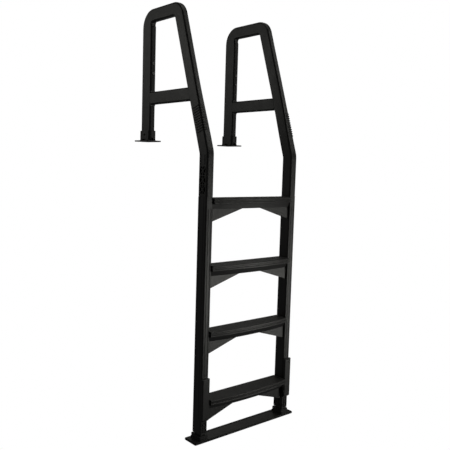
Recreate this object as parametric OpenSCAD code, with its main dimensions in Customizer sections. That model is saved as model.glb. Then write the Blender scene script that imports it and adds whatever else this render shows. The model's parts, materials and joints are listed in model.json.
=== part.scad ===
// Deck-mounted in-pool ladder. Millimetres, +Z up, +X across, +Y from the pool towards the deck.
// Everything is drawn standing on the pool floor and is then moved by place(), so that the origin
// lies on the deck surface, midway between the two deck flanges.

/* [Overall size] */
// Width over the outer faces of the stiles
ladder_w = 564; // [500:4:640]
// Height of the deck surface above the underside of the base
deck_h = 1370; // [1364:1:1376]
// Height of the top rails above the underside of the base
overall_h = 2004; // [1994:1:2020]

/* [Stiles] */
// Stile width across the ladder
stile_w = 40; // [38:0.5:44]
// Stile depth, pool side to deck side
stile_d = 62; // [60:0.5:66]
// Wall of the hollow stile
stile_wall = 3.2; // [2.4:0.2:4]
// Height of the seam between stile and handrail
seam_z = 1125; // [1120:1:1130]

/* [Handrails] */
// Width of the handrail tube across the ladder
rail_w = 31; // [29:0.5:33]
// Depth of the sloping rail
rail_d = 65; // [62:0.5:68]
// Edge radius of the handrail tube
rail_r = 8; // [4:0.5:9]
// Depth of the deck leg
leg_d = 78; // [76:1:82]
// Far face of the deck leg, from the pool-side face of the stiles
leg_back = 541; // [531:2:561]
// Height of the top rail section
top_h = 60; // [56:1:64]
// Height of the crossbar's centre
cross_z = 1580; // [1560:2:1600]
// Height of the crossbar section
cross_h = 60; // [54:1:64]
// Height of the bend, on the stile's centre line
bend_z = 1318; // [1312:1:1326]
// Top of the sloping rail, from the pool-side face of the stiles
slope_y = 250; // [244:1:256]

/* [Treads] */
// Height of the bottom tread
tread4_z = 198.5; // [196.5:0.5:202.5]
// Height of the tread above it
tread3_z = 514.4; // [510.4:0.5:516.4]
// Rise between the upper treads
tread_pitch = 302; // [298:1:303]
// How far the middle of a nosing stands in front of the stiles
nose_mid = 27; // [22:1:32]
// How far the ends of a nosing stand in front of the stiles
nose_end = 10; // [6:1:13]
// Height of the nosing
nose_h = 26.5; // [22:0.5:32]
// Depth of the skirt behind the nosing
skirt_h = 48.5; // [40:0.5:52]
// Depth of the brace at midspan
web_mid = 50; // [46:1:56]
// Depth of the brace at the stiles
web_end = 106; // [90:1:108]

/* [Base and deck flanges] */
// Width of the base plate
base_w = 630; // [610:2:650]
// Depth of the base plate
base_d = 84; // [80:1:96]
// Deck flange plate, across the ladder
flange_w = 80; // [76:1:90]
// Deck flange plate, pool side to deck side
flange_d = 118; // [114:1:124]
// Spacing of the deck screw holes across the ladder
flange_px = 56; // [56:1:58]
// Spacing of the deck screw holes from pool side to deck side
flange_py = 88; // [80:1:94]
// Height of the collar above the deck
collar_h = 54; // [48:1:60]

/* [Hidden] */
xo = ladder_w / 2;            // outer face of the ladder
xi = xo - stile_w;            // inner face of a stile
xc = xo - stile_w / 2;        // stile centre
xr = xo - rail_w / 2;         // handrail centre
leg_front = leg_back - leg_d;
leg_c = leg_back - leg_d / 2;
slope_a = atan2(slope_y - stile_d / 2, overall_h - top_h / 2 - bend_z);
tread_zs = [tread3_z + 2 * tread_pitch, tread3_z + tread_pitch, tread3_z, tread4_z];
stile_bot = 40;               // lower end of the stiles
wall = 3.2;                   // handrail wall
bend_r = 70;                  // centre-line radius of the bend
swell = 330;                  // length over which the sloping rail widens
sec_n = 6;                    // facets in each rounded edge of the handrail
corner_r1 = 80;               // outer radius where the sloping rail meets the top rail
corner_r2 = 84;               // outer radius where the top rail meets the deck leg
skirt_y = 11;                 // the tread's skirt starts this far behind the nosing's face
skirt_slope = 9;              // and its lower edge stands this much further back
brace_y = 10;                 // pool-side face of the tread's braces
brace_l = 180;                // length of the stout part of a brace
tread_bolt_y = 40;            // tread bolts, from the pool-side face of the stiles
tread_bolt_zs = [18, 62];     // tread bolts, below the tread's top
flute_ys = [16, 46];          // flutes in the outer faces
bracket_t = 13;               // bottom bracket, in front of the stile
bracket_z0 = 100;
bracket_z1 = 300;
bracket_zs = [118, 283];      // the bracket's screws
leg_w = 29.3;                 // telescoping leg, across
leg_y0 = 7;                   // telescoping leg, pool-side face
leg_y1 = 49;                  // telescoping leg, deck-side face
leg_top = 350;
seam_gap = 1.5;               // shadow line between stile and handrail
foot_y = 32;                  // centre of the base sockets
base_y = 33;                  // centre of the base plate
base_screw_ys = [3, 57];
core_d = 56;                  // aluminium core in the deck leg, pool side to deck side
slot_r = 4.3;
clamp_z = 180;
travel = 150;
plate_top = deck_h + 6;
bolt_zs = [1701, 1748];       // the two screws in each deck leg
e = 0.2;
$fn = 48;

module place() { translate([0, -leg_c, -deck_h]) children(); }
module side(s) { if (s < 0) mirror([1, 0, 0]) children(); else children(); }
module both() { children(); mirror([1, 0, 0]) children(); }

// rounded rectangle, centred
module rsec(w, d, r) {
  square([w - 2 * r, d], center = true);
  square([w, d - 2 * r], center = true);
  for (i = [-1, 1], j = [-1, 1]) translate([i * (w / 2 - r), j * (d / 2 - r)]) circle(r);
}
module rbar(w, d, r, l) { linear_extrude(l) rsec(w, d, r); }

// screws and nuts along +Z: the head's underside is at z = 0 and the shank runs up
module hex_bolt(r, l, af, h) {
  cylinder(r = r, h = l);
  translate([0, 0, -h]) cylinder(d = af / cos(30), h = h, $fn = 6);
}
module pan_screw(r, l, hr, h) {
  difference() {
    union() {
      cylinder(r = r, h = l);
      translate([0, 0, -h]) cylinder(r = hr, h = h);
    }
    for (a = [0, 90]) rotate(a) translate([-hr * 0.6, -0.6, -h - 1]) cube([hr * 1.2, 1.2, 1.9]);
  }
}
module hex_nut(r, af, h) {
  difference() {
    cylinder(d = af / cos(30), h = h, $fn = 6);
    translate([0, 0, -1]) cylinder(r = r, h = h + 2);
  }
}

// ---- lattice pockets: triangles left between crossing ribs, in the local XY plane ----
module tri_pocket(a, b, c, k) {
  m = (a + b + c) / 3;
  polygon([for (p = [a, b, c]) m + (p - m) * k]);
}
module lattice(w, h, rows, k) {
  ph = h / rows;
  for (i = [0 : rows - 1]) {
    z0 = i * ph;
    z1 = z0 + ph;
    zm = z0 + ph / 2;
    tri_pocket([-w / 2, z0], [0, zm], [-w / 2, z1], k);
    tri_pocket([w / 2, z0], [w / 2, z1], [0, zm], k);
    tri_pocket([-w / 2 + 1, z1], [0, zm], [-1, z1], k);
    tri_pocket([1, z1], [0, zm], [w / 2 - 1, z1], k);
    tri_pocket([-w / 2 + 1, z0], [-1, z0], [0, zm], k);
    tri_pocket([1, z0], [w / 2 - 1, z0], [0, zm], k);
  }
}

// ---- handrail: a closed A-shaped tube; drawn for the right side ----
// Its skin is one sweep: each ring is [y, z, heading from +Z towards +Y, width, depth].
function rrect(w, d, r, n) = [for (c = [0 : 3], k = [0 : n])
  [(c == 0 || c == 3 ? 1 : -1) * (w / 2 - r) + r * cos(90 * (c + k / n)),
   (c < 2 ? 1 : -1) * (d / 2 - r) + r * sin(90 * (c + k / n))]];
function place_ring(g) = [for (q = rrect(g[3], g[4], rail_r, sec_n))
  [xo - g[3] / 2 + q[0], g[0] + q[1] * cos(g[2]), g[1] - q[1] * sin(g[2])]];
function ease(t) = (1 - cos(180 * t)) / 2;
module sweep(rings) {
  m = 4 * (sec_n + 1);
  pts = [for (g = rings) each place_ring(g)];
  k = len(rings);
  polyhedron(pts, concat(
    [[for (i = [0 : m - 1]) i]],
    [[for (i = [m - 1 : -1 : 0]) (k - 1) * m + i]],
    [for (j = [0 : k - 2], i = [0 : m - 1])
      [j * m + i, (j + 1) * m + i, (j + 1) * m + (i + 1) % m, j * m + (i + 1) % m]]));
}
module handrail() {
  a = slope_a;
  mid = stile_d / 2;
  half = rail_d / 2;
  b_t = bend_r * tan(a / 2);
  run = (overall_h - corner_r1 - bend_z + (corner_r1 - half) * sin(a)) / cos(a);
  c1 = [mid + run * sin(a) + (corner_r1 - half) * cos(a), overall_h - corner_r1];
  c2 = [leg_back - corner_r2, overall_h - corner_r2];
  bar_y0 = mid + (cross_z - bend_z) * tan(a);
  rings = concat(
    [[mid, seam_z, 0, stile_w, stile_d]],
    [for (i = [0 : 4]) let (h = a * i / 4)
      [mid + bend_r * (1 - cos(h)), bend_z - b_t + bend_r * sin(h), h, stile_w, stile_d]],
    [for (i = [1 : 6]) let (l = b_t + swell * i / 6, t = ease(i / 6))
      [mid + l * sin(a), bend_z + l * cos(a), a,
       stile_w + (rail_w - stile_w) * t, stile_d + (rail_d - stile_d) * t]],
    [for (i = [0 : 8]) let (h = a + (90 - a) * i / 8, d = rail_d + (top_h - rail_d) * i / 8)
      [c1[0] - (corner_r1 - d / 2) * cos(h), c1[1] + (corner_r1 - d / 2) * sin(h), h, rail_w, d]],
    [for (i = [0 : 10]) let (h = 90 + 9 * i, d = top_h + (leg_d - top_h) * ease(i / 10))
      [c2[0] - (corner_r2 - d / 2) * cos(h), c2[1] + (corner_r2 - d / 2) * sin(h), h, rail_w, d]],
    [[leg_c, plate_top + 0.4, 180, rail_w, leg_d]]);
  x0 = xo - rail_w + wall;
  x1 = xo - wall;
  hc = mid - wall;
  top_z0 = overall_h - top_h + wall;
  difference() {
    union() {
      sweep(rings);
      // crossbar, a little slimmer than the tube it joins
      translate([xr, bar_y0, cross_z]) rotate([-90, 0, 0])
        rbar(rail_w - 1, cross_h, rail_r - 1, leg_c - bar_y0);
      // fillets where the crossbar meets the deck leg
      fillet([leg_front, cross_z + cross_h / 2], 90, 7);
      fillet([leg_front, cross_z - cross_h / 2], 180, 7);
    }
    // hollow inside: upright, sloping rail, top rail, leg and crossbar, all joined
    cav(xi + wall, xo - 6.2, wall, stile_d - wall, seam_z - 1, bend_z + 8);
    translate([0, mid, bend_z]) rotate([-a, 0, 0]) {
      cav(x0, x1, -hc, hc, 0, run);
      cav(x0, x1, -10, hc, run - 5, run + 20);
    }
    cav(x0, x1, c1[0] - 38, c1[0], top_z0, overall_h - wall - 14);
    cav(x0, x1, c1[0] - 6, c2[0] + 4, top_z0, overall_h - wall);
    cav(x0, x1, c2[0], c2[0] + 50, top_z0, c2[1] + 80);
    cav(x0, x1, leg_front + wall + 1.5, c2[0] + 80, c2[1] - 5, c2[1] + 46);
    cav(x0, x1, leg_front + wall, leg_back - wall, plate_top - 1, c2[1]);
    cav(x0, x1, bar_y0 - 10, leg_front + 10, cross_z - cross_h / 2 + wall, cross_z + cross_h / 2 - wall);
    // flutes beside a centre rib on the outer face, running out at the bend
    for (y = flute_ys) translate([xo + 4.4, y, seam_z + 140]) cylinder(r = 6, h = bend_z - seam_z - 148);
    // lattice on the outer face, open to the hollow so that the tube floods and drains
    translate([xo - 7, mid, seam_z + 11]) rotate([90, 0, 90]) linear_extrude(10) lattice(44, 123, 3, 0.72);
    // screw holes: deck-leg core, and splice
    for (z = bolt_zs) translate([xr, leg_front - 1, z]) rotate([-90, 0, 0]) cylinder(r = 3.2, h = 6);
    translate([xc, stile_d + 1, seam_z + 30]) rotate([90, 0, 0]) cylinder(r = 2.6, h = 8);
  }
}
module cav(x0, x1, y0, y1, z0, z1) { translate([x0, y0, z0]) cube([x1 - x0, y1 - y0, z1 - z0]); }
module fillet(p, a, r) {
  translate([xo - rail_w + 3, p[0], p[1]]) rotate([90, 0, 90]) linear_extrude(rail_w - 6)
    rotate(a) difference() {
      translate([-1, -1]) square(r + 1);
      translate([r, r]) circle(r);
    }
}

// ---- stile: a hollow fluted upright; drawn for the right side ----
module stile() {
  difference() {
    translate([xc, stile_d / 2, stile_bot]) linear_extrude(seam_z - seam_gap - stile_bot) difference() {
      rsec(stile_w, stile_d, 6);
      square([stile_w - 2 * stile_wall, stile_d - 2 * stile_wall], center = true);
    }
    // flutes: a pair on the outer face and a pair on the pool-side face
    for (y = flute_ys) translate([xo + 4.8, y, stile_bot + 70]) cylinder(r = 6, h = 1100);
    for (x = [-8, 8]) translate([xc + x, -4.9, bracket_z1 + 10]) cylinder(r = 6, h = 760);
    // lattice at the foot, through the pool-side and the inner wall
    translate([xc, stile_wall + 0.5, stile_bot + 4]) rotate([90, 0, 0]) linear_extrude(6)
      lattice(30, 52, 2, 0.66);
    translate([xi + stile_wall + 0.5, stile_d / 2, stile_bot + 4]) rotate([90, 0, -90]) linear_extrude(6)
      lattice(48, 52, 2, 0.7);
    // holes
    translate([xc, stile_d + 1, seam_z - 30]) rotate([90, 0, 0]) cylinder(r = 2.6, h = 8);
    for (t = [0 : 2], z = tread_bolt_zs) translate([xi - 1, tread_bolt_y, tread_zs[t] - z])
      rotate([0, 90, 0]) cylinder(r = 3.2, h = 8);
    translate([xc, -1, clamp_z]) rotate([-90, 0, 0]) cylinder(r = 4.1, h = stile_d + 2);
    for (z = bracket_zs) translate([xc, -1, z]) rotate([-90, 0, 0]) cylinder(r = 2.1, h = 5);
  }
}

// ---- treads ----
// bowed front: the nosing's outer face is an arc through its two ends and its middle
function bow_r(m, n, hw) = (hw * hw + (m - n) * (m - n)) / (2 * (m - n));
// section of the nosing, outer face at x = 0: two rounded bands with a groove between them
module nose_profile() {
  b = (nose_h - 5) / 2;
  translate([-4.5, -b / 2]) rsec(9, b, 3.4, $fn = 48);
  translate([-4.5, -nose_h + b / 2]) rsec(9, b, 3.4, $fn = 48);
  translate([-9, -nose_h + 4]) square([5.4, nose_h - 8]);
}
// section of the skirt: upright at first, then sloping back under the nosing
module skirt_profile(h) {
  back = skirt_y + 4;
  polygon([[-skirt_y, -4], [-back, -4], [-back, 2 - nose_h],
    [-back - skirt_slope, -h], [-skirt_y - skirt_slope, -h], [-skirt_y, 2 - nose_h]]);
}
module tread(hw, m, n, sh) {
  R = bow_r(m, n, hw);
  yc = R - m;
  arch = [[-hw, -web_end], [-60, -web_mid], [60, -web_mid], [hw, -web_end], [hw, -6], [-hw, -6]];
  difference() {
    union() {
      // top plate
      intersection() {
        translate([-hw, -60, -5]) cube([2 * hw, 60 + stile_d, 5]);
        translate([0, yc, -6]) cylinder(r = R - 4.5, h = 8, $fn = 360);
      }
      // nosing
      intersection() {
        translate([-hw, -60, -nose_h]) cube([2 * hw, 60 + 20, nose_h]);
        translate([0, yc, 0]) rotate_extrude($fn = 360) translate([R, 0]) nose_profile();
      }
      // skirt, which follows the bow behind the nosing
      intersection() {
        translate([-hw, -60, -sh]) cube([2 * hw, 60 + 20, sh - 3]);
        translate([0, yc, 0]) rotate_extrude($fn = 360) translate([R, 0]) skirt_profile(sh);
      }
      // web with its arched lower edge, and the stouter brace at each end
      translate([0, brace_y + 14, 0]) rotate([90, 0, 0]) linear_extrude(4) polygon(arch);
      intersection() {
        translate([0, brace_y + 14, 0]) rotate([90, 0, 0]) linear_extrude(14) polygon(arch);
        for (s = [-1, 1]) translate([s * hw - (s > 0 ? brace_l : 0), 0, -web_end - 2])
          cube([brace_l, brace_y + 20, web_end - 42]);
      }
      // back wall, end plates and cross ribs
      translate([-hw, stile_d - 4, -22]) cube([2 * hw, 4, 20]);
      for (s = [-1, 1]) translate([s * hw - (s > 0 ? 4 : 0), 9, -74]) cube([4, stile_d - 11, 72]);
      for (x = [-160, -80, 0, 80, 160]) translate([x - 1.5, -6, -20]) cube([3, stile_d + 4, 18]);
    }
    // bolt holes, behind the brace
    for (s = [-1, 1], z = tread_bolt_zs) translate([s * (hw + 1), tread_bolt_y, -z]) rotate([0, -s * 90, 0])
      cylinder(r = 3.2, h = 6);
  }
}

// ---- bracket that carries the bottom tread in front of the stile ----
module bottom_bracket() {
  z0 = bracket_z0;
  z1 = bracket_z1;
  difference() {
    union() {
      difference() {
        intersection() {
          translate([xc + 0.75, 0, z0]) rbar(stile_w + 1.5, 2 * bracket_t, 5, z1 - z0);
          translate([xi, -bracket_t, z0]) cube([stile_w + 1.5, bracket_t, z1 - z0]);
        }
        // room inside for the clamp's nut
        translate([xi + 3, -bracket_t + 3.2, z0 + 24]) cube([stile_w - 6, bracket_t, 144]);
        // chamfer under the front, and softened top
        translate([xi - 1, -bracket_t, z0]) rotate([0, 90, 0]) cylinder(r = 10, h = stile_w + 4, $fn = 4);
        translate([xi - 1, -bracket_t, z1]) rotate([0, 90, 0]) cylinder(r = 4, h = stile_w + 4, $fn = 4);
      }
      // cheek beside the stile, for the tread's end
      translate([xi - 3, -8, tread4_z - 78]) cube([3, stile_d + 6, 78]);
      translate([xi - 3, -8, tread4_z - 78]) cube([6, 8, 78]);
    }
    for (z = bracket_zs) translate([xc, -15, z]) rotate([-90, 0, 0]) cylinder(r = 2.1, h = 20);
    for (z = bracket_zs) translate([xc, -bracket_t - 0.1, z]) rotate([-90, 0, 0]) cylinder(r = 4.2, h = 2.2);
    for (z = tread_bolt_zs) translate([xi - 4, tread_bolt_y, tread4_z - z]) rotate([0, 90, 0])
      cylinder(r = 3.2, h = 5);
  }
}

// ---- lower leg, sliding inside the stile through a guide bush ----
module leg_guide() {
  difference() {
    translate([xc - stile_w / 2 + stile_wall + e, stile_wall + e, stile_bot])
      cube([stile_w - 2 * stile_wall - 2 * e, stile_d - 2 * stile_wall - 2 * e, 60]);
    translate([xc - leg_w / 2 - 0.3, leg_y0 - 0.3, stile_bot - 1])
      cube([leg_w + 0.6, leg_y1 - leg_y0 + 0.6, 62]);
  }
}
module lower_leg() {
  yc = (leg_y0 + leg_y1) / 2;
  difference() {
    translate([xc, yc, 14]) linear_extrude(leg_top - 14) difference() {
      rsec(leg_w, leg_y1 - leg_y0, 3);
      rsec(leg_w - 5, leg_y1 - leg_y0 - 5, 1.5);
    }
    // slot for the clamp bolt
    translate([xc, leg_y0 - 1, clamp_z - 9]) rotate([-90, 0, 0]) cylinder(r = slot_r, h = 60);
    translate([xc, leg_y0 - 1, clamp_z + travel + 3]) rotate([-90, 0, 0]) cylinder(r = slot_r, h = 60);
    translate([xc - slot_r, leg_y0 - 1, clamp_z - 9]) cube([2 * slot_r, 60, travel + 12]);
  }
}
module clamp_bolts() {
  both() translate([xc, stile_d + 1.6, clamp_z]) rotate([90, 0, 0]) hex_bolt(4, stile_d + 1.6 + 8.5, 13, 5.3);
}
module clamp_washers() {
  both() for (y = [stile_d, -1.6]) translate([xc, y + 1.6, clamp_z]) rotate([90, 0, 0]) difference() {
    cylinder(r = 8, h = 1.6);
    translate([0, 0, -1]) cylinder(r = 4.2, h = 4);
  }
}
module clamp_nuts() { both() translate([xc, -1.6, clamp_z]) rotate([90, 0, 0]) hex_nut(4.03, 13, 6.5); }

// ---- base ----
module base_socket() {
  difference() {
    union() {
      translate([xc, foot_y, 11]) rbar(50, 66, 7, 21);
      translate([xc, foot_y, 11]) rbar(54, 72, 8, 5);
    }
    translate([xc - leg_w / 2 - 0.1, leg_y0 - 0.1, 13.9]) cube([leg_w + 0.2, leg_y1 - leg_y0 + 0.2, 30]);
    for (y = base_screw_ys) translate([xc, y, 10]) cylinder(r = 1.95, h = 16);
  }
}
module base_plate() {
  difference() {
    union() {
      translate([0, base_y, 2.6]) linear_extrude(6.4) rsec(base_w, base_d, 6);
      translate([0, base_y, 9]) linear_extrude(2) rsec(base_w - 6, base_d - 6, 5);
    }
    // long recess between the sockets, leaving a rim
    translate([0, base_y, 9.4]) linear_extrude(4) rsec(2 * xi - 38, base_d - 22, 6);
    both() for (y = base_screw_ys) translate([xc, y, 0]) cylinder(r = 2.1, h = 14);
    both() for (y = base_screw_ys) translate([xc, y, 2.5]) cylinder(r = 4.2, h = 3.3);
  }
}
module base_pad() { translate([0, base_y, 0]) linear_extrude(2.6) rsec(base_w - 4, base_d - 4, 5); }
module base_screws() { both() for (y = base_screw_ys) translate([xc, y, 5.8]) pan_screw(1.9, 18, 4, 3); }

// ---- deck flange: oblong plate with a tall collar that holds the deck leg ----
module flange_holes(z) {
  for (i = [-1, 1], j = [-1, 1])
    translate([xr + i * flange_px / 2, leg_c + j * flange_py / 2, z]) cylinder(r = 3.3, h = 9);
}
module deck_flange() {
  difference() {
    union() {
      translate([xr, leg_c, deck_h + 1.5]) rbar(flange_w, flange_d, 4, 4.5);
      translate([xr, leg_c, deck_h + 1.5]) rbar(rail_w + 12, leg_d + 12, rail_r + 6, collar_h - 1.5);
      translate([xr, leg_c, deck_h + 5]) rbar(rail_w + 14, leg_d + 14, rail_r + 7, 6);
      // stiffening ribs on the plate
      for (a = [-1, 1]) translate([xr - 2, leg_c + (a > 0 ? 43 : -54), deck_h + 5]) cube([4, 11, 12]);
      for (a = [-1, 1]) translate([xr + (a > 0 ? 20 : -35), leg_c - 2, deck_h + 5]) cube([15, 4, 8]);
    }
    translate([xr, leg_c, plate_top]) rbar(rail_w + 0.6, leg_d + 0.6, rail_r + 0.3, 80);
    flange_holes(deck_h - 1);
    translate([xo - 1, leg_c, deck_h + 34]) rotate([0, 90, 0]) cylinder(r = 3, h = 20);
  }
}
module flange_gasket() {
  difference() {
    translate([xr, leg_c, deck_h]) rbar(flange_w - 1, flange_d - 1, 3.5, 1.5);
    flange_holes(deck_h - 1);
  }
}
module flange_set_screw() {
  translate([xo + 0.4, leg_c, deck_h + 34]) rotate([0, 90, 0]) difference() {
    union() {
      cylinder(r = 2.97, h = 6.4);
      translate([0, 0, 5.7]) cylinder(r = 5, h = 2.6);
    }
    translate([0, 0, 6.4]) cylinder(d = 4.6, h = 4, $fn = 6);
  }
}

// ---- hidden joining pieces ----
module splice() {
  difference() {
    union() {
      translate([xi + wall + e, stile_wall + e, seam_z])
        cube([xo - 6.2 - xi - wall - 2 * e, stile_d - 2 * stile_wall - 2 * e, 70]);
      translate([xi + stile_wall + e, stile_wall + e, seam_z - 70])
        cube([stile_w - 2 * stile_wall - 2 * e, stile_d - 2 * stile_wall - 2 * e, 70]);
    }
    translate([xi + wall + e + 4, 8, seam_z - 80]) cube([stile_w - 17.8, stile_d - 16, 160]);
    // window that clears the top tread's bolts and nuts
    translate([xi, tread_bolt_y - 7.5, seam_z - 71]) cube([11, 15, 57]);
    for (z = [-30, 30]) translate([xc, stile_d, seam_z + z]) rotate([90, 0, 0]) cylinder(r = 2.3, h = 9);
  }
}
module splice_screws() {
  both() for (z = [-30, 30]) translate([xc, stile_d, seam_z + z]) rotate([90, 0, 0])
    pan_screw(2.25, 8.2, 4.6, 2.8);
}
module tread_bolts() {
  both() for (t = [0 : 2], z = tread_bolt_zs) translate([xi - 4, tread_bolt_y, tread_zs[t] - z])
    rotate([0, 90, 0]) hex_bolt(3, 4 + stile_wall + 7, 10, 4);
}
module tread_nuts() {
  both() for (t = [0 : 2], z = tread_bolt_zs) translate([xi + stile_wall, tread_bolt_y, tread_zs[t] - z])
    rotate([0, 90, 0]) hex_nut(3.03, 10, 5);
}
module bottom_tread_screws() {
  both() for (z = tread_bolt_zs) translate([xi - 7, tread_bolt_y, tread4_z - z]) rotate([0, 90, 0])
    hex_bolt(3.15, 7, 10, 4);
}
module bracket_screws() {
  both() for (z = bracket_zs) translate([xc, -bracket_t + 2.1, z]) rotate([-90, 0, 0])
    pan_screw(2.05, 13.8, 4, 2.1);
}
module leg_core() {
  translate([xr, leg_front + 4 + core_d / 2, plate_top + 2]) difference() {
    rbar(rail_w - 2 * wall - 0.4, core_d, 2.5, 410);
    translate([0, 0, -1]) rbar(rail_w - 2 * wall - 4.4, core_d - 4, 1.5, 412);
    for (z = bolt_zs) translate([0, -core_d / 2 - 2, z - plate_top - 2]) rotate([-90, 0, 0])
      cylinder(r = 3.2, h = 14);
  }
}
module leg_core_screws() {
  both() for (z = bolt_zs) translate([xr, leg_front, z]) rotate([-90, 0, 0]) pan_screw(3, 15, 6.4, 3.6);
}
module leg_core_nuts() {
  both() for (z = bolt_zs) translate([xr, leg_front + 6, z]) rotate([-90, 0, 0]) hex_nut(3.03, 10, 5);
}

module resin() { color([0.06, 0.06, 0.06]) place() children(); }
module steel() { color([0.62, 0.63, 0.65]) place() children(); }
module dark_rubber() { color([0.1, 0.1, 0.1]) place() children(); }

resin() side(-1) handrail();  // handrail_left
resin() handrail();  // handrail_right
resin() side(-1) stile();  // stile_left
resin() stile();  // stile_right
resin() translate([0, 0, tread_zs[0]]) tread(xi, nose_mid, nose_end, skirt_h);  // tread_1
resin() translate([0, 0, tread_zs[1]]) tread(xi, nose_mid, nose_end, skirt_h);  // tread_2
resin() translate([0, 0, tread_zs[2]]) tread(xi, nose_mid, nose_end, skirt_h);  // tread_3
resin() translate([0, 0, tread4_z]) tread(xi - 3, nose_mid + 11.5, nose_end + 10, skirt_h - 5);  // tread_4
resin() side(-1) bottom_bracket();  // bottom_bracket_left
resin() bottom_bracket();  // bottom_bracket_right
steel() bracket_screws();
steel() bottom_tread_screws();
resin() side(-1) splice();  // splice_left
resin() splice();  // splice_right
steel() splice_screws();
steel() tread_bolts();
steel() tread_nuts();
steel() side(-1) leg_core();  // leg_core_left
steel() leg_core();  // leg_core_right
steel() leg_core_screws();
steel() leg_core_nuts();
resin() side(-1) leg_guide();  // leg_guide_left
resin() leg_guide();  // leg_guide_right
steel() clamp_bolts();
steel() clamp_washers();
steel() clamp_nuts();
resin() side(-1) lower_leg();  // lower_leg_left
resin() lower_leg();  // lower_leg_right
resin() side(-1) base_socket();  // base_socket_left
resin() base_socket();  // base_socket_right
resin() base_plate();
dark_rubber() base_pad();
steel() base_screws();
resin() side(-1) deck_flange();  // deck_flange_left
dark_rubber() side(-1) flange_gasket();  // flange_gasket_left
steel() side(-1) flange_set_screw();  // flange_set_screw_left
resin() deck_flange();  // deck_flange_right
dark_rubber() flange_gasket();  // flange_gasket_right
steel() flange_set_screw();  // flange_set_screw_right
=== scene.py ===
# %% [markdown]
# # Dressing a moulded pool ladder
# The ladder comes in as finished solids: handrails, stiles, treads, brackets, legs, base and deck
# flanges, each already in its place. This lesson gives them their finish: satin black resin with a
# moulded skin, blackened screws, soft rubber pads, and the small raised features that a mould
# leaves, such as the grip ribs on the handrails and the studs on the treads.
# %% Load the ladder
import json
import math
import bmesh
import bpy
from mathutils import Matrix, Vector


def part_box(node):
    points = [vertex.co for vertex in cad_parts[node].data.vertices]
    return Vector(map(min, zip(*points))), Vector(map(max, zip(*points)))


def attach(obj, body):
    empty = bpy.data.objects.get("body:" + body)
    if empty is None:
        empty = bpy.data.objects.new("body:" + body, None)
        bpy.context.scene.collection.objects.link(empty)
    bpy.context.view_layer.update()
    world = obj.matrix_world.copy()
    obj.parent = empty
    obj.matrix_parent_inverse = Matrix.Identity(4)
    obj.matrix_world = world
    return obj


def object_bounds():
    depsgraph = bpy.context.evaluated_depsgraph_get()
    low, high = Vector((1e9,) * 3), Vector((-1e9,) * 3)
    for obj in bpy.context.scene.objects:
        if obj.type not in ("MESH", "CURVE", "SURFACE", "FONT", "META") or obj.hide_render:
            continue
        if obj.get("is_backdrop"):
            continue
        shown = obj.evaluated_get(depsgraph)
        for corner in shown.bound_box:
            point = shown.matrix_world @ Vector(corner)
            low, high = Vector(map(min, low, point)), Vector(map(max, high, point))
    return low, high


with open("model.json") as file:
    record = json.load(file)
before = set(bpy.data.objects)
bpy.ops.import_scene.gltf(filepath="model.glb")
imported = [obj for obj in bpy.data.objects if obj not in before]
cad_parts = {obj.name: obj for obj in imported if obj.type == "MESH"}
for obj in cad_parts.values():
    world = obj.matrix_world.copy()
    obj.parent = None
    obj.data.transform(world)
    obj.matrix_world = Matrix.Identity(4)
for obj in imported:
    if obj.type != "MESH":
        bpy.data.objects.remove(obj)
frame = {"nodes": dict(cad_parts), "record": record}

cad_low, cad_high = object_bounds()
record = frame["record"]
nodes = frame["nodes"]
print("ladder box:", [round(v, 3) for v in cad_low], [round(v, 3) for v in cad_high])

# %% [markdown]
# ## Measures taken from the solids
# Every later step needs the same few places: the outer face of a stile, its pool-side face, the
# seam where a handrail sits on its stile, and the floor that the base stands on. They could be
# typed in, but reading them from the solids keeps the dressing on the ladder if a size changes.
# A box can't tell where a handrail bends or how far it leans, so those are typed in: the rise
# from seam to bend, the run and rise of the slope, and half the rail's depth.
# %% Measures
stile_low, stile_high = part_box("stile_right")
rail_low, rail_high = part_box("handrail_right")
OUTER_X = rail_high.x
POOL_Y = stile_low.y
STILE_DEEP = stile_high.y - stile_low.y
STILE_WIDE = stile_high.x - stile_low.x
SEAM_Z = rail_low.z
FLOOR_Z = cad_low.z
LEG_REACH = max(j["range_m"][1] for j in record["behaviour"]["joints"] if j["name"] == "leg_adjust")
BEND_RISE = 0.193
BEND_Z = SEAM_Z + BEND_RISE
SLOPE_RUN = 0.219
SLOPE_RISE = 0.656
RAIL_LEAN = math.atan2(SLOPE_RUN, SLOPE_RISE)
RAIL_HALF = 0.0325
MID_Y = POOL_Y + STILE_DEEP / 2
print("stile", round(STILE_WIDE, 4), "x", round(STILE_DEEP, 4), "seam at", round(SEAM_Z, 3))

# %% [markdown]
# ## Camera
# The ladder is seen from the pool, from its left, a little above half height. A long lens would
# flatten it and a short one would splay the stiles, so the camera stands about three metres off
# with a lens of nearly 50 mm. It is placed by its heading, its dip and a slight roll, which together make
# one rotation matrix. The roll is real: the ladder leans a touch in its frame. The Standard view
# keeps black as dark and white as clean as the lights make them.
# %% Camera
def look_matrix(place, heading, dip, roll):
    """Camera matrix for a heading from +Y towards +X, a dip below level and a roll, in degrees."""
    h, d, r = (math.radians(v) for v in (heading, dip, roll))
    ahead = Vector((math.sin(h) * math.cos(d), math.cos(h) * math.cos(d), -math.sin(d)))
    right = Vector((math.cos(h), -math.sin(h), 0))
    up = right.cross(ahead)
    x = right * math.cos(r) + up * math.sin(r)
    y = up * math.cos(r) - right * math.sin(r)
    m = Matrix((x, y, -ahead)).transposed().to_4x4()
    m.translation = place
    return m


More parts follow.
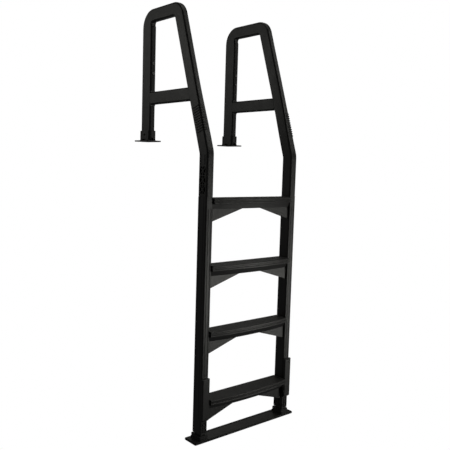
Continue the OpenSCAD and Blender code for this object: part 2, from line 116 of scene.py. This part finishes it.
camera_data = bpy.data.cameras.new("portrait_camera")
camera_data.sensor_width = 36.0
camera_data.lens = 48.82
camera = bpy.data.objects.new("portrait_camera", camera_data)
bpy.context.scene.collection.objects.link(camera)
camera.matrix_world = look_matrix(Vector((-1.9395, -2.5972, -0.1048)), 40.17, 5.59, 1.69)
bpy.context.scene.camera = camera
bpy.context.scene.view_settings.view_transform = "Standard"
print("camera at", [round(v, 2) for v in camera.location])

# %% [markdown]
# ## Floor, sky and lights
# Black plastic shows almost nothing but what it reflects, so the lights are drawn as large soft
# panels, and each is put where the faces that should catch it look. Three stand in front and to
# the right, low, middle and high, for the legs, the pool-side faces and the sloping rails with
# the nosings; one stands at the back left, for the outer faces of the handrails; one hangs above,
# for the treads and the top rails; and a weak one at the back right lights the far sides. Floor
# and sky are white to the eye but nearly black to the ladder, so that it stays black against a
# clean backdrop. A Light Path node tells the two apart. The floor lies as low as the legs can be
# drawn out, so that it never hides the base plate.
# %% Floor and sky
FLOOR_GLOW = 0.07
SKY_GLOW = 0.025
PANEL_TINT = (1.0, 0.995, 0.94)


def tidy_mesh_object(name, bm, smooth=True):
    """Turns a bmesh into an object at the origin, with its faces pointing outwards."""
    bmesh.ops.recalc_face_normals(bm, faces=bm.faces)
    mesh = bpy.data.meshes.new(name)
    bm.to_mesh(mesh)
    bm.free()
    for f in mesh.polygons:
        f.use_smooth = smooth
    obj = bpy.data.objects.new(name, mesh)
    bpy.context.scene.collection.objects.link(obj)
    return obj


FLOOR_SIZE = 14.0
FLOOR_GAP = 0.0005
floor_bm = bmesh.new()
bmesh.ops.create_grid(floor_bm, x_segments=2, y_segments=2, size=FLOOR_SIZE)
bmesh.ops.translate(floor_bm, verts=floor_bm.verts, vec=(0, 0, FLOOR_Z - LEG_REACH - FLOOR_GAP))
floor = tidy_mesh_object("studio_floor", floor_bm, smooth=False)


def two_faced(tree, out_socket, kind, seen_strength, felt_strength):
    """A light-giving surface or sky that has one strength to the eye and another to the ladder."""
    path = tree.nodes.new("ShaderNodeLightPath")
    choose = tree.nodes.new("ShaderNodeMixShader")
    tree.links.new(path.outputs["Is Camera Ray"], choose.inputs["Fac"])
    for socket, strength in ((1, felt_strength), (2, seen_strength)):
        glow = tree.nodes.new(kind)
        glow.inputs["Color"].default_value = (1, 1, 1, 1)
        glow.inputs["Strength"].default_value = strength
        tree.links.new(glow.outputs[0], choose.inputs[socket])
    tree.links.new(choose.outputs["Shader"], out_socket)


floor_look = bpy.data.materials.new("pale_floor")
floor_look.use_nodes = True
floor_tree = floor_look.node_tree
floor_tree.nodes.remove(floor_tree.nodes["Principled BSDF"])
two_faced(floor_tree, floor_tree.nodes["Material Output"].inputs["Surface"],
          "ShaderNodeEmission", 1.0, FLOOR_GLOW)
floor.data.materials.append(floor_look)
floor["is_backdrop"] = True

sky = bpy.data.worlds.new("studio_sky")
bpy.context.scene.world = sky
sky.use_nodes = True
sky_tree = sky.node_tree
sky_tree.nodes.clear()
sky_out = sky_tree.nodes.new("ShaderNodeOutputWorld")
two_faced(sky_tree, sky_out.inputs["Surface"], "ShaderNodeBackground", 1.0, SKY_GLOW)
print("floor and sky glow on the ladder:", FLOOR_GLOW, SKY_GLOW)

# %% Lights
def soft_panel(name, place, target, size, watts):
    """A square area light that faces its target."""
    data = bpy.data.lights.new(name, "AREA")
    data.shape = "SQUARE"
    data.size = size
    data.energy = watts
    data.color = PANEL_TINT
    lamp = bpy.data.objects.new(name, data)
    lamp.location = place
    lamp.visible_camera = False
    lamp.rotation_euler = (Vector(target) - Vector(place)).to_track_quat("-Z", "Y").to_euler()
    bpy.context.scene.collection.objects.link(lamp)
    return lamp


soft_panel("front_panel", (2.6, -3.6, -0.8), (0, -0.3, -0.7), 1.1, 11)
soft_panel("low_front_panel", (1.3, -2.2, -1.25), (0, -0.45, -1.0), 0.9, 10)
soft_panel("upper_front_panel", (2.4, -2.6, 2.3), (0, -0.4, -0.2), 1.2, 13)
soft_panel("left_panel", (-3.5, 3.1, 1.15), (0, 0, 0.2), 1.5, 13)
soft_panel("top_panel", (0.4, -0.6, 3.6), (0, -0.3, -0.5), 3.0, 20)
soft_panel("back_fill", (2.6, 3.4, 1.2), (0, 0, -0.3), 2.4, 6)

# %% [markdown]
# ## Shared effects
# Several finishes need the same three effects: the fine skin that a mould gives to resin, the
# scuffs that hands and feet leave, and the pale film that dried pool water leaves on faces that
# look up. Each is a node group, built once. A group gives out only masks and values; the shader
# itself stays in each material, where the values are put to use.
# %% A helper for node groups
def new_group(name, inputs, outputs):
    """A shader node group with named sockets; returns it with its input and output nodes."""
    g = bpy.data.node_groups.new(name, "ShaderNodeTree")
    for label, value in inputs:
        s = g.interface.new_socket(name=label, in_out="INPUT", socket_type="NodeSocketFloat")
        s.default_value = value
    for label in outputs:
        g.interface.new_socket(name=label, in_out="OUTPUT", socket_type="NodeSocketFloat")
    return g, g.nodes.new("NodeGroupInput"), g.nodes.new("NodeGroupOutput")


def maths(tree, how, a, b=None, clamp=False):
    """A Math node fed by sockets or plain numbers; returns its output socket."""
    n = tree.nodes.new("ShaderNodeMath")
    n.operation = how
    n.use_clamp = clamp
    for i, v in enumerate((a, b)):
        if v is None:
            continue
        if hasattr(v, "is_linked"):
            tree.links.new(v, n.inputs[i])
        else:
            n.inputs[i].default_value = v
    return n.outputs[0]


def noise(tree, coords, scale, detail=3.0, rough=0.55):
    """A Noise texture on the given coordinates; returns its factor socket."""
    n = tree.nodes.new("ShaderNodeTexNoise")
    n.inputs["Detail"].default_value = detail
    n.inputs["Roughness"].default_value = rough
    tree.links.new(coords, n.inputs["Vector"])
    if hasattr(scale, "is_linked"):
        tree.links.new(scale, n.inputs["Scale"])
    else:
        n.inputs["Scale"].default_value = scale
    return n.outputs["Fac"]


# %% [markdown]
# ### Moulded skin
# Blow-moulded resin has two scales of unevenness. Close up there is a fine leathery grain,
# etched into the mould to hide flow marks; seen from further off the walls are very slightly
# wavy, because they cooled unsupported. One height socket carries both, and a mottle socket lets
# the colour and gloss drift with them.
# %% Moulded skin group
skin, skin_in, skin_out = new_group(
    "moulded_skin", [("Grain Size", 900.0), ("Grain", 1.0), ("Waviness", 1.0)], ["Height", "Mottle"])
where = skin.nodes.new("ShaderNodeTexCoord").outputs["Object"]
cells = skin.nodes.new("ShaderNodeTexVoronoi")
cells.feature = "SMOOTH_F1"
cells.inputs["Smoothness"].default_value = 0.6
skin.links.new(where, cells.inputs["Vector"])
skin.links.new(skin_in.outputs["Grain Size"], cells.inputs["Scale"])
pebble = maths(skin, "MULTIPLY", cells.outputs["Distance"], skin_in.outputs["Grain"])
wave = maths(skin, "MULTIPLY", noise(skin, where, 9.0, 1.0), skin_in.outputs["Waviness"])
height = maths(skin, "ADD", maths(skin, "MULTIPLY", pebble, 0.12), wave)
skin.links.new(height, skin_out.inputs["Height"])
drift = maths(skin, "MULTIPLY", noise(skin, where, 23.0, 4.0, 0.6), 0.75)
mottle = maths(skin, "ADD", drift, maths(skin, "MULTIPLY", pebble, 0.3))
skin.links.new(mottle, skin_out.inputs["Mottle"])
print("group:", skin.name)

# %% [markdown]
# ### Handling marks
# Scuffs come in strokes, not dots. A noise stretched strongly along the height gives strokes, and
# a second, larger noise decides where they gather. Multiplying the two and keeping only the peaks
# leaves a few faint marks, which is all that a new ladder has.
# %% Handling marks group
marks, marks_in, marks_out = new_group(
    "handling_marks", [("Stroke Size", 60.0), ("Coverage", 0.5)], ["Scuff"])
where = marks.nodes.new("ShaderNodeTexCoord").outputs["Object"]
stretch = marks.nodes.new("ShaderNodeMapping")
stretch.inputs["Scale"].default_value = (1.0, 1.0, 0.16)
stretch.inputs["Rotation"].default_value = (0.35, 0.2, 0.0)
marks.links.new(where, stretch.inputs["Vector"])
strokes = noise(marks, stretch.outputs["Vector"], marks_in.outputs["Stroke Size"], 6.0, 0.7)
gather = noise(marks, where, 5.0, 2.0)
peaks = maths(marks, "MULTIPLY", maths(marks, "SUBTRACT", strokes, 0.56), 9.0, clamp=True)
spread = maths(marks, "MULTIPLY", maths(marks, "SUBTRACT", gather, 0.46), 5.0, clamp=True)
scuff = maths(marks, "MULTIPLY", maths(marks, "MULTIPLY", peaks, spread), marks_in.outputs["Coverage"])
marks.links.new(scuff, marks_out.inputs["Scuff"])
print("group:", marks.name)

# %% [markdown]
# ### Dried film
# Water dries into a pale film where it can stand: on faces that look up, in soft-edged patches.
# The Normal of the Geometry node tells how far a face looks up, and a noise breaks the film.
# %% Dried film group
film, film_in, film_out = new_group("dried_film", [("Patch Size", 14.0), ("Amount", 0.4)], ["Film"])
where = film.nodes.new("ShaderNodeTexCoord").outputs["Object"]
facing = film.nodes.new("ShaderNodeNewGeometry")
apart = film.nodes.new("ShaderNodeSeparateXYZ")
film.links.new(facing.outputs["Normal"], apart.inputs["Vector"])
up_facing = maths(film, "MULTIPLY", maths(film, "SUBTRACT", apart.outputs["Z"], 0.35), 1.6, clamp=True)
cloud = noise(film, where, film_in.outputs["Patch Size"], 5.0, 0.65)
patches = maths(film, "MULTIPLY", maths(film, "SUBTRACT", cloud, 0.34), 2.2, clamp=True)
dried = maths(film, "MULTIPLY", maths(film, "MULTIPLY", up_facing, patches), film_in.outputs["Amount"])
film.links.new(dried, film_out.inputs["Film"])
print("group:", film.name)

# %% [markdown]
# ## Finishes
# One function builds all the plastic and rubber finishes, because they differ only in their
# numbers: how dark, how glossy, how coarse the grain, how much film. Metal gets its own recipe.
# Values that are the same all over are set on the shader; only what varies comes by a link.
# %% Plastic and rubber finishes
def put_group(tree, group, **values):
    n = tree.nodes.new("ShaderNodeGroup")
    n.node_tree = group
    for k, v in values.items():
        n.inputs[k.replace("_", " ")].default_value = v
    return n


def blend_colour(tree, factor, a, b):
    """Mixes two colours, each a plain tuple or a socket, by a factor socket."""
    m = tree.nodes.new("ShaderNodeMix")
    m.data_type = "RGBA"
    tree.links.new(factor, m.inputs["Factor"])
    for key, v in (("A", a), ("B", b)):
        s = [i for i in m.inputs if i.name == key and i.type == "RGBA"][0]
        if isinstance(v, tuple):
            s.default_value = (*v, 1)
        else:
            tree.links.new(v, s)
    return [o for o in m.outputs if o.type == "RGBA"][0]


def polymer(name, deep, light, gloss, grain_size, grain, waviness, bump, scuffs, film_amount,
            specular=0.5):
    """Satin resin or rubber: two close tones, a moulded skin, faint scuffs and a dried film."""
    m = bpy.data.materials.new(name)
    m.use_nodes = True
    t = m.node_tree
    shader = t.nodes["Principled BSDF"]
    shader.inputs["Specular IOR Level"].default_value = specular
    s = put_group(t, skin, Grain_Size=grain_size, Grain=grain, Waviness=waviness)
    k = put_group(t, marks, Stroke_Size=60.0, Coverage=scuffs)
    f = put_group(t, film, Patch_Size=14.0, Amount=film_amount)
    tone = blend_colour(t, s.outputs["Mottle"], deep, light)
    tone = blend_colour(t, k.outputs["Scuff"], tone, tuple(3.2 * v + 0.02 for v in light))
    tone = blend_colour(t, f.outputs["Film"], tone, (0.15, 0.15, 0.145))
    t.links.new(tone, shader.inputs["Base Color"])
    rough = maths(t, "ADD", maths(t, "MULTIPLY", s.outputs["Mottle"], 0.16), gloss - 0.08)
    rough = maths(t, "ADD", rough, maths(t, "MULTIPLY", k.outputs["Scuff"], 0.18))
    rough = maths(t, "ADD", rough, maths(t, "MULTIPLY", f.outputs["Film"], 0.3), clamp=True)
    t.links.new(rough, shader.inputs["Roughness"])
    b = t.nodes.new("ShaderNodeBump")
    b.inputs["Strength"].default_value = bump
    b.inputs["Distance"].default_value = 0.0012
    t.links.new(s.outputs["Height"], b.inputs["Height"])
    t.links.new(b.outputs["Normal"], shader.inputs["Normal"])
    return m


resin = polymer(
    "satin_black_resin", deep=(0.0085, 0.0085, 0.0083), light=(0.0155, 0.0155, 0.015), gloss=0.42,
    grain_size=900.0, grain=1.0, waviness=1.0, bump=0.5, scuffs=0.22, film_amount=0.16)
tread_resin = polymer(
    "tread_black_resin", deep=(0.0095, 0.0095, 0.0092), light=(0.018, 0.018, 0.0175), gloss=0.42,
    grain_size=620.0, grain=1.2, waviness=0.4, bump=0.5, scuffs=0.4, film_amount=0.3)
inner_resin = polymer(
    "plain_inner_resin", deep=(0.02, 0.02, 0.02), light=(0.04, 0.04, 0.04), gloss=0.55,
    grain_size=500.0, grain=0.6, waviness=0.4, bump=0.3, scuffs=0.1, film_amount=0.0)
rubber = polymer(
    "soft_pad_rubber", deep=(0.006, 0.006, 0.006), light=(0.012, 0.012, 0.012), gloss=0.78,
    grain_size=1300.0, grain=1.4, waviness=0.3, bump=0.6, scuffs=0.3, film_amount=0.3, specular=0.3)
print("finishes:", [m.name for m in (resin, tread_resin, inner_resin, rubber)])

# %% [markdown]
# ### Metal
# The screws are stainless steel with a black finish, which lets a little of the turned surface
# show, so their gloss is streaked rather than mirror-like. The tube inside each deck leg is drawn
# aluminium, with the fine lines of its die running along its length. The screws of that tube look
# paler than the rest, so they get a lighter finish of their own. All three come from one noise,
# which is stretched for the tube only.
# %% Metal finishes
def metal(name, tone, gloss, line_scale, squeeze):
    """Streaked bare metal; squeeze is the stretch of the lines along each axis."""
    m = bpy.data.materials.new(name)
    m.use_nodes = True
    t = m.node_tree
    shader = t.nodes["Principled BSDF"]
    shader.inputs["Metallic"].default_value = 1.0
    k = put_group(t, marks, Stroke_Size=140.0, Coverage=0.5)
    coords = t.nodes.new("ShaderNodeTexCoord")
    turn = t.nodes.new("ShaderNodeMapping")
    turn.inputs["Scale"].default_value = squeeze
    t.links.new(coords.outputs["Object"], turn.inputs["Vector"])
    lines = noise(t, turn.outputs["Vector"], line_scale, 5.0, 0.6)
    tone_link = blend_colour(t, lines, tuple(0.72 * v for v in tone), tone)
    tone_link = blend_colour(t, k.outputs["Scuff"], tone_link, tuple(0.6 * v for v in tone))
    t.links.new(tone_link, shader.inputs["Base Color"])
    rough = maths(t, "ADD", maths(t, "MULTIPLY", lines, 0.25), gloss, clamp=True)
    t.links.new(rough, shader.inputs["Roughness"])
    b = t.nodes.new("ShaderNodeBump")
    b.inputs["Strength"].default_value = 0.25
    b.inputs["Distance"].default_value = 0.0002
    t.links.new(lines, b.inputs["Height"])
    t.links.new(b.outputs["Normal"], shader.inputs["Normal"])
    return m


stainless = metal("blackened_stainless", (0.07, 0.07, 0.068), 0.42, 420.0, (1.0, 1.0, 1.0))
worn_screws = metal("worn_stainless", (0.22, 0.22, 0.22), 0.38, 420.0, (1.0, 1.0, 1.0))
core_tube = metal("drawn_aluminium", (0.6, 0.61, 0.62), 0.28, 300.0, (1.0, 1.0, 0.04))
print("finishes:", stainless.name, worn_screws.name, core_tube.name)

# %% [markdown]
# ## Dressing the solids
# Each solid names a finish slot in its record. A small table turns slot names into finishes, and
# every solid's material is swapped for the dressed one. The screws of the deck legs are the one
# exception: they share a slot with the other screws but take the lighter finish.
# %% Give every solid its finish
finish_of = {"resin": resin, "tread_resin": tread_resin, "inner_resin": inner_resin,
             "stainless": stainless, "core_tube": core_tube, "rubber": rubber}
slot_of = {s["node"]: s["material_slot"] for s in record["subparts"]}
for name, obj in nodes.items():
    obj.data.materials.clear()
    obj.data.materials.append(worn_screws if name == "leg_core_screws" else finish_of[slot_of[name]])
print("dressed", len(nodes), "solids")

# %% [markdown]
# ## Grip ribs on the handrails
# Just above its bend, each handrail carries a band of short raised ribs, which wrap round the
# edge where a hand closes. They could be modelled one by one, or cut by a boolean, but a rib that
# repeats at a fixed step is what Geometry Nodes do best: one spine is drawn, swept into a
# half-round bead, and copied along the rail. The tree's inputs are the number of ribs, their step
# and their thickness.
# %% A helper for Geometry Nodes trees
def nodes_tree(name, inputs):
    """A Geometry Nodes tree with a geometry input and output, and more inputs (label, kind, value)."""
    t = bpy.data.node_groups.new(name, "GeometryNodeTree")
    t.interface.new_socket(name="Geometry", in_out="INPUT", socket_type="NodeSocketGeometry")
    for label, kind, value in inputs:
        s = t.interface.new_socket(name=label, in_out="INPUT", socket_type=kind)
        if value is not None:
            s.default_value = value
    t.interface.new_socket(name="Geometry", in_out="OUTPUT", socket_type="NodeSocketGeometry")
    return t, t.nodes.new("NodeGroupInput"), t.nodes.new("NodeGroupOutput")


def run_tree(obj, tree, values, name, body):
    """Runs a tree on obj, keeps the result as a plain mesh riding on a body, and drops the helper."""
    mod = obj.modifiers.new(tree.name, "NODES")
    mod.node_group = tree
    for s in tree.interface.items_tree:
        if s.in_out == "INPUT" and s.name in values:
            mod[s.identifier] = values[s.name]
    graph = bpy.context.evaluated_depsgraph_get()
    graph.update()
    made = bpy.data.meshes.new_from_object(obj.evaluated_get(graph), depsgraph=graph)
    made.name = name
    piece = bpy.data.objects.new(name, made)
    bpy.context.scene.collection.objects.link(piece)
    bpy.data.objects.remove(obj)
    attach(piece, body)
    print(name, "has", len(made.vertices), "vertices in", len(made.polygons), "faces")
    return piece


def finish_tree(t, geometry, material_socket, out):
    """Ends a tree: real copies, then the finish."""
    real = t.nodes.new("GeometryNodeRealizeInstances")
    paint = t.nodes.new("GeometryNodeSetMaterial")
    t.links.new(geometry, real.inputs[0])
    t.links.new(real.outputs[0], paint.inputs["Geometry"])
    t.links.new(material_socket, paint.inputs["Material"])
    t.links.new(paint.outputs[0], out.inputs["Geometry"])


# %% The rib tree
rib_tree, rib_in, rib_out = nodes_tree("grip_ribs", [
    ("Ribs", "NodeSocketInt", 10), ("Step", "NodeSocketVector", (0, 0, 0.012)),
    ("Bead Radius", "NodeSocketFloat", 0.0015), ("Finish", "NodeSocketMaterial", None)])
line = rib_tree.nodes.new("GeometryNodeMeshLine")
rib_tree.links.new(rib_in.outputs["Ribs"], line.inputs["Count"])
rib_tree.links.new(rib_in.outputs["Step"], line.inputs["Offset"])
spine = rib_tree.nodes.new("GeometryNodeMeshToCurve")
rib_tree.links.new(rib_in.outputs["Geometry"], spine.inputs[0])
ring = rib_tree.nodes.new("GeometryNodeCurvePrimitiveCircle")
ring.inputs["Resolution"].default_value = 10
rib_tree.links.new(rib_in.outputs["Bead Radius"], ring.inputs["Radius"])
bead = rib_tree.nodes.new("GeometryNodeCurveToMesh")
bead.inputs["Fill Caps"].default_value = True
rib_tree.links.new(spine.outputs[0], bead.inputs["Curve"])
rib_tree.links.new(ring.outputs["Curve"], bead.inputs["Profile Curve"])
copies = rib_tree.nodes.new("GeometryNodeInstanceOnPoints")
rib_tree.links.new(line.outputs["Mesh"], copies.inputs["Points"])
rib_tree.links.new(bead.outputs["Mesh"], copies.inputs["Instance"])
finish_tree(rib_tree, copies.outputs["Instances"], rib_in.outputs["Finish"], rib_out)

# %% [markdown]
# The spine crosses the rail's outer face, turns round its pool-side edge and ends on the
# pool-side face. Points on the sloping rail are given by how far along it they lie and how far
# from its centre line, and one helper turns those into places in space.
# %% Draw the spines and run the tree
EDGE_R = 0.008
BAND_BACK = 0.013
BAND_MID = -0.004
WRAP_IN = 0.019
TAPER = 0.002


def on_rail(side, inward, across, along):
    """A point on a sloping handrail: inward from its outer face, across from its centre line."""
    return Vector((side * (OUTER_X - inward),
                   MID_Y + across * math.cos(RAIL_LEAN) + along * math.sin(RAIL_LEAN),
                   BEND_Z - across * math.sin(RAIL_LEAN) + along * math.cos(RAIL_LEAN)))


def spine_points(side, along, sink):
    """Across the outer face, round the edge, and onto the pool-side face."""
    flat = [(sink, BAND_BACK), (sink, BAND_MID), (sink, -RAIL_HALF + EDGE_R)]
    inner = EDGE_R - sink
    turn = [(EDGE_R - inner * math.cos(a), -RAIL_HALF + EDGE_R - inner * math.sin(a))
            for a in (math.radians(d) for d in range(15, 91, 15))]
    front = [(WRAP_IN, -RAIL_HALF + sink), (WRAP_IN + TAPER, -RAIL_HALF + sink * 3)]
    ends = [(sink * 3, BAND_BACK + TAPER)]
    return [on_rail(side, i, c, along) for i, c in ends + flat + turn + front]


def wire(name, runs):
    """An object of plain edges, one chain per run of points."""
    bm = bmesh.new()
    for run in runs:
        vs = [bm.verts.new(p) for p in run]
        for a, b in zip(vs, vs[1:]):
            bm.edges.new((a, b))
    mesh = bpy.data.meshes.new(name)
    bm.to_mesh(mesh)
    bm.free()
    obj = bpy.data.objects.new(name, mesh)
    bpy.context.scene.collection.objects.link(obj)
    return obj


RIB_PITCH = 0.0114
RIB_START = 0.097
RIB_SINK = 0.0003
rib_step = Vector((0, math.sin(RAIL_LEAN), math.cos(RAIL_LEAN))) * RIB_PITCH
spines = wire("rib_spines", [spine_points(s, RIB_START, RIB_SINK) for s in (-1, 1)])
grip = run_tree(spines, rib_tree,
                {"Ribs": 11, "Step": rib_step, "Bead Radius": 0.0029, "Finish": resin},
                "handrail_grip_ribs", "ladder")
for f in grip.data.polygons:
    f.use_smooth = True

# %% [markdown]
# ## Studs on the treads
# A wet foot needs something to bite on, so each tread's top is moulded with rows of low oval
# studs. The front rows follow the bow of the nosing and the back rows lie straight. The tree
# lays a flat grid, shifts every second row by half a step, bends the grid by a circle's height
# that fades out towards the back, and puts a stud on each point.
# %% The stud tree
stud_tree, stud_in, stud_out = nodes_tree("tread_studs", [
    ("Width", "NodeSocketFloat", 0.46), ("Depth", "NodeSocketFloat", 0.05),
    ("Across", "NodeSocketInt", 50), ("Rows", "NodeSocketInt", 7),
    ("Bow", "NodeSocketFloat", 0.015), ("Place", "NodeSocketVector", (0, 0, 0)),
    ("Stud", "NodeSocketFloat", 0.0016), ("Finish", "NodeSocketMaterial", None)])
grid = stud_tree.nodes.new("GeometryNodeMeshGrid")
for a, b in (("Width", "Size X"), ("Depth", "Size Y"),
             ("Across", "Vertices X"), ("Rows", "Vertices Y")):
    stud_tree.links.new(stud_in.outputs[a], grid.inputs[b])
place = stud_tree.nodes.new("GeometryNodeInputPosition")
split = stud_tree.nodes.new("ShaderNodeSeparateXYZ")
stud_tree.links.new(place.outputs[0], split.inputs[0])
gaps = maths(stud_tree, "SUBTRACT", stud_in.outputs["Rows"], 1.0)
gap = maths(stud_tree, "DIVIDE", stud_in.outputs["Depth"], gaps)
steps = maths(stud_tree, "SUBTRACT", stud_in.outputs["Across"], 1.0)
step = maths(stud_tree, "DIVIDE", stud_in.outputs["Width"], steps)
half_depth = maths(stud_tree, "MULTIPLY", stud_in.outputs["Depth"], 0.5)
half_width = maths(stud_tree, "MULTIPLY", stud_in.outputs["Width"], 0.5)
from_front = maths(stud_tree, "ADD", split.outputs["Y"], half_depth)
row = maths(stud_tree, "ROUND", maths(stud_tree, "DIVIDE", from_front, gap))
odd = maths(stud_tree, "SUBTRACT", maths(stud_tree, "MODULO", row, 2.0), 0.5)
shift = maths(stud_tree, "MULTIPLY", odd, maths(stud_tree, "MULTIPLY", step, 0.5))
from_mid = maths(stud_tree, "DIVIDE", split.outputs["X"], half_width)
arc = maths(stud_tree, "SUBTRACT", 1.0, maths(stud_tree, "MULTIPLY", from_mid, from_mid))
back_share = maths(stud_tree, "DIVIDE", split.outputs["Y"], stud_in.outputs["Depth"])
fade = maths(stud_tree, "SUBTRACT", 0.5, back_share)
forward = maths(stud_tree, "MULTIPLY", stud_in.outputs["Bow"], -1.0)
bend = maths(stud_tree, "MULTIPLY", maths(stud_tree, "MULTIPLY", arc, fade), forward)
join = stud_tree.nodes.new("ShaderNodeCombineXYZ")
stud_tree.links.new(shift, join.inputs["X"])
stud_tree.links.new(bend, join.inputs["Y"])
total = stud_tree.nodes.new("ShaderNodeVectorMath")
stud_tree.links.new(join.outputs[0], total.inputs[0])
stud_tree.links.new(stud_in.outputs["Place"], total.inputs[1])
moved = stud_tree.nodes.new("GeometryNodeSetPosition")
stud_tree.links.new(grid.outputs["Mesh"], moved.inputs["Geometry"])
stud_tree.links.new(total.outputs[0], moved.inputs["Offset"])
stud = stud_tree.nodes.new("GeometryNodeMeshCone")
stud.inputs["Vertices"].default_value = 8
stud_tree.links.new(stud_in.outputs["Stud"], stud.inputs["Radius Bottom"])
stud_tree.links.new(maths(stud_tree, "MULTIPLY", stud_in.outputs["Stud"], 0.6), stud.inputs["Radius Top"])
stud_tree.links.new(maths(stud_tree, "MULTIPLY", stud_in.outputs["Stud"], 0.55), stud.inputs["Depth"])
studs = stud_tree.nodes.new("GeometryNodeInstanceOnPoints")
studs.inputs["Scale"].default_value = (1.7, 1.0, 1.0)
stud_tree.links.new(moved.outputs["Geometry"], studs.inputs["Points"])
stud_tree.links.new(stud.outputs["Mesh"], studs.inputs["Instance"])
finish_tree(stud_tree, studs.outputs["Instances"], stud_in.outputs["Finish"], stud_out)

# %% Lay the studs on each tread
SIDE_MARGIN = 0.01
NOSE_MARGIN = 0.0135
BACK_MARGIN = 0.004
STUD_SINK = 0.0001
TREAD_BOW = 0.013
BOTTOM_BOW = 0.016
for number in (1, 2, 3, 4):
    low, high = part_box(f"tread_{number}")
    width = high.x - low.x - 2 * SIDE_MARGIN
    nose = low.y + NOSE_MARGIN
    back = high.y - BACK_MARGIN
    bow = TREAD_BOW if number < 4 else BOTTOM_BOW
    depth = back - nose - bow
    middle = Vector((0, back - depth / 2, high.z - STUD_SINK))
    seed = wire(f"stud_seed_{number}", [[middle, middle + Vector((0.01, 0, 0))]])
    run_tree(seed, stud_tree,
             {"Width": width, "Depth": depth, "Across": 54, "Rows": 8, "Bow": bow,
              "Place": middle, "Stud": 0.0019, "Finish": tread_resin},
             f"tread_studs_{number}", "ladder")

# %% [markdown]
# ## Sizes, and the end
# The dressing must not make the ladder bigger. The box measured at the start and the box now are
# written side by side, so that any growth shows.
# %% Compare the boxes and finish
now_low, now_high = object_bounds()
pairs = zip([*cad_low, *cad_high], [*now_low, *now_high])
print("grew by (mm):", [round(1000 * (now - cad), 2) for cad, now in pairs])
